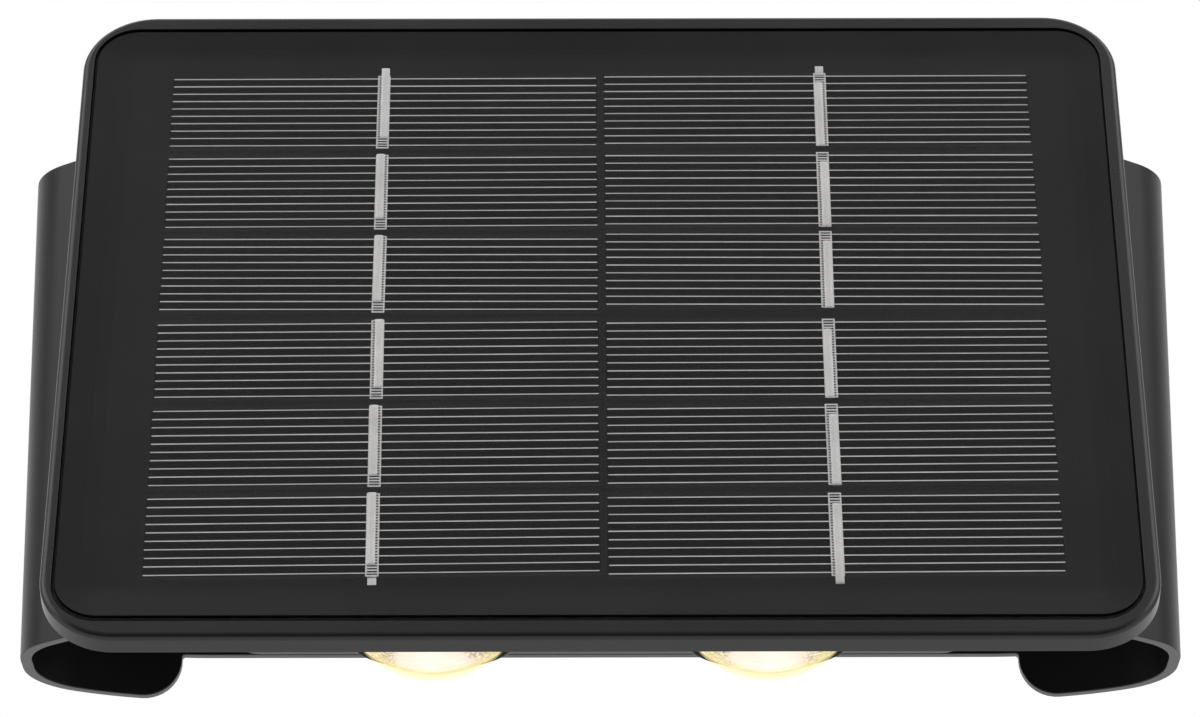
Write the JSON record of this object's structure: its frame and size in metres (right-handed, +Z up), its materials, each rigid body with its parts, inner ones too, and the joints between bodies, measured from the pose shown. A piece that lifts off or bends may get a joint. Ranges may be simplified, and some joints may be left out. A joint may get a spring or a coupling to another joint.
{
  "type": "solar fence light",
  "caption": "Solar fence light: a tilted solar panel over a compact body with clear downward lenses, wrapped by a curved shell that hangs on keyholes.",
  "frame": {"origin": "centre of the flat back that lies on the fence", "axes": "+X to the right seen from the front, along the light's width; +Y into the fence; +Z up"},
  "size_m": [0.14, 0.0679, 0.0913],
  "materials": {
    "shell_black": "moulded black plastic, fine satin",
    "body_black": "moulded black plastic, satin",
    "frame_black": "moulded black plastic, satin",
    "gasket": "black sponge rubber",
    "panel_glaze": "clear laminate with a low gloss",
    "panel_board": "black resin board",
    "foam_tape": "double-sided foam tape",
    "solar_cell": "near-black silicon with thin pale lines",
    "tinned_ribbon": "tinned copper ribbon",
    "lens_clear": "clear moulded plastic",
    "reflector_white": "white moulded plastic",
    "board_white": "white solder mask",
    "led_phosphor": "yellow phosphor in a white case",
    "switch_black": "moulded plastic",
    "button_rubber": "smooth black rubber",
    "board_green": "green solder mask",
    "chip_black": "moulded epoxy",
    "capacitor_sleeve": "shrink sleeve",
    "battery_sleeve": "plain shrink sleeve",
    "cradle_plastic": "moulded plastic",
    "contact_metal": "nickel-plated spring steel",
    "lead_red": "insulated lead",
    "lead_black": "insulated lead",
    "screw_steel": "zinc-plated steel"
  },
  "bodies": {
    "lamp": {"wrap_shell": "shell_black", "lamp_body": "body_black", "panel_frame": "frame_black", "body_gasket": "gasket", "panel_cover": "panel_glaze", "panel_backing": "panel_board", "panel_adhesive": "foam_tape", "solar_cells": "solar_cell", "cell_ribbons": "tinned_ribbon", "lens_left": "lens_clear", "lens_right": "lens_clear", "reflector_left": "reflector_white", "reflector_right": "reflector_white", "led_board": "board_white", "led_chips": "led_phosphor", "switch_body": "switch_black", "control_board": "board_green", "control_chip": "chip_black", "charge_coil": "chip_black", "capacitor": "capacitor_sleeve", "battery": "battery_sleeve", "battery_cradle": "cradle_plastic", "contact_plate_negative": "contact_metal", "contact_plate_positive": "contact_metal", "contact_spring": "contact_metal", "solar_leads": "lead_red", "battery_leads": "lead_red", "led_leads": "lead_black", "frame_screws": "screw_steel", "shell_screws": "screw_steel", "led_board_screws": "screw_steel"},
    "button": {"switch_button": "button_rubber", "switch_stem": "switch_black"}
  },
  "joints": [
    {"name": "button_press", "type": "slide", "parent": "lamp", "child": "button", "axis": [0, 0, 1], "range_m": [0, 0.0012], "stiffness_N_per_m": 400, "springref_m": -0.0015}
  ]
}
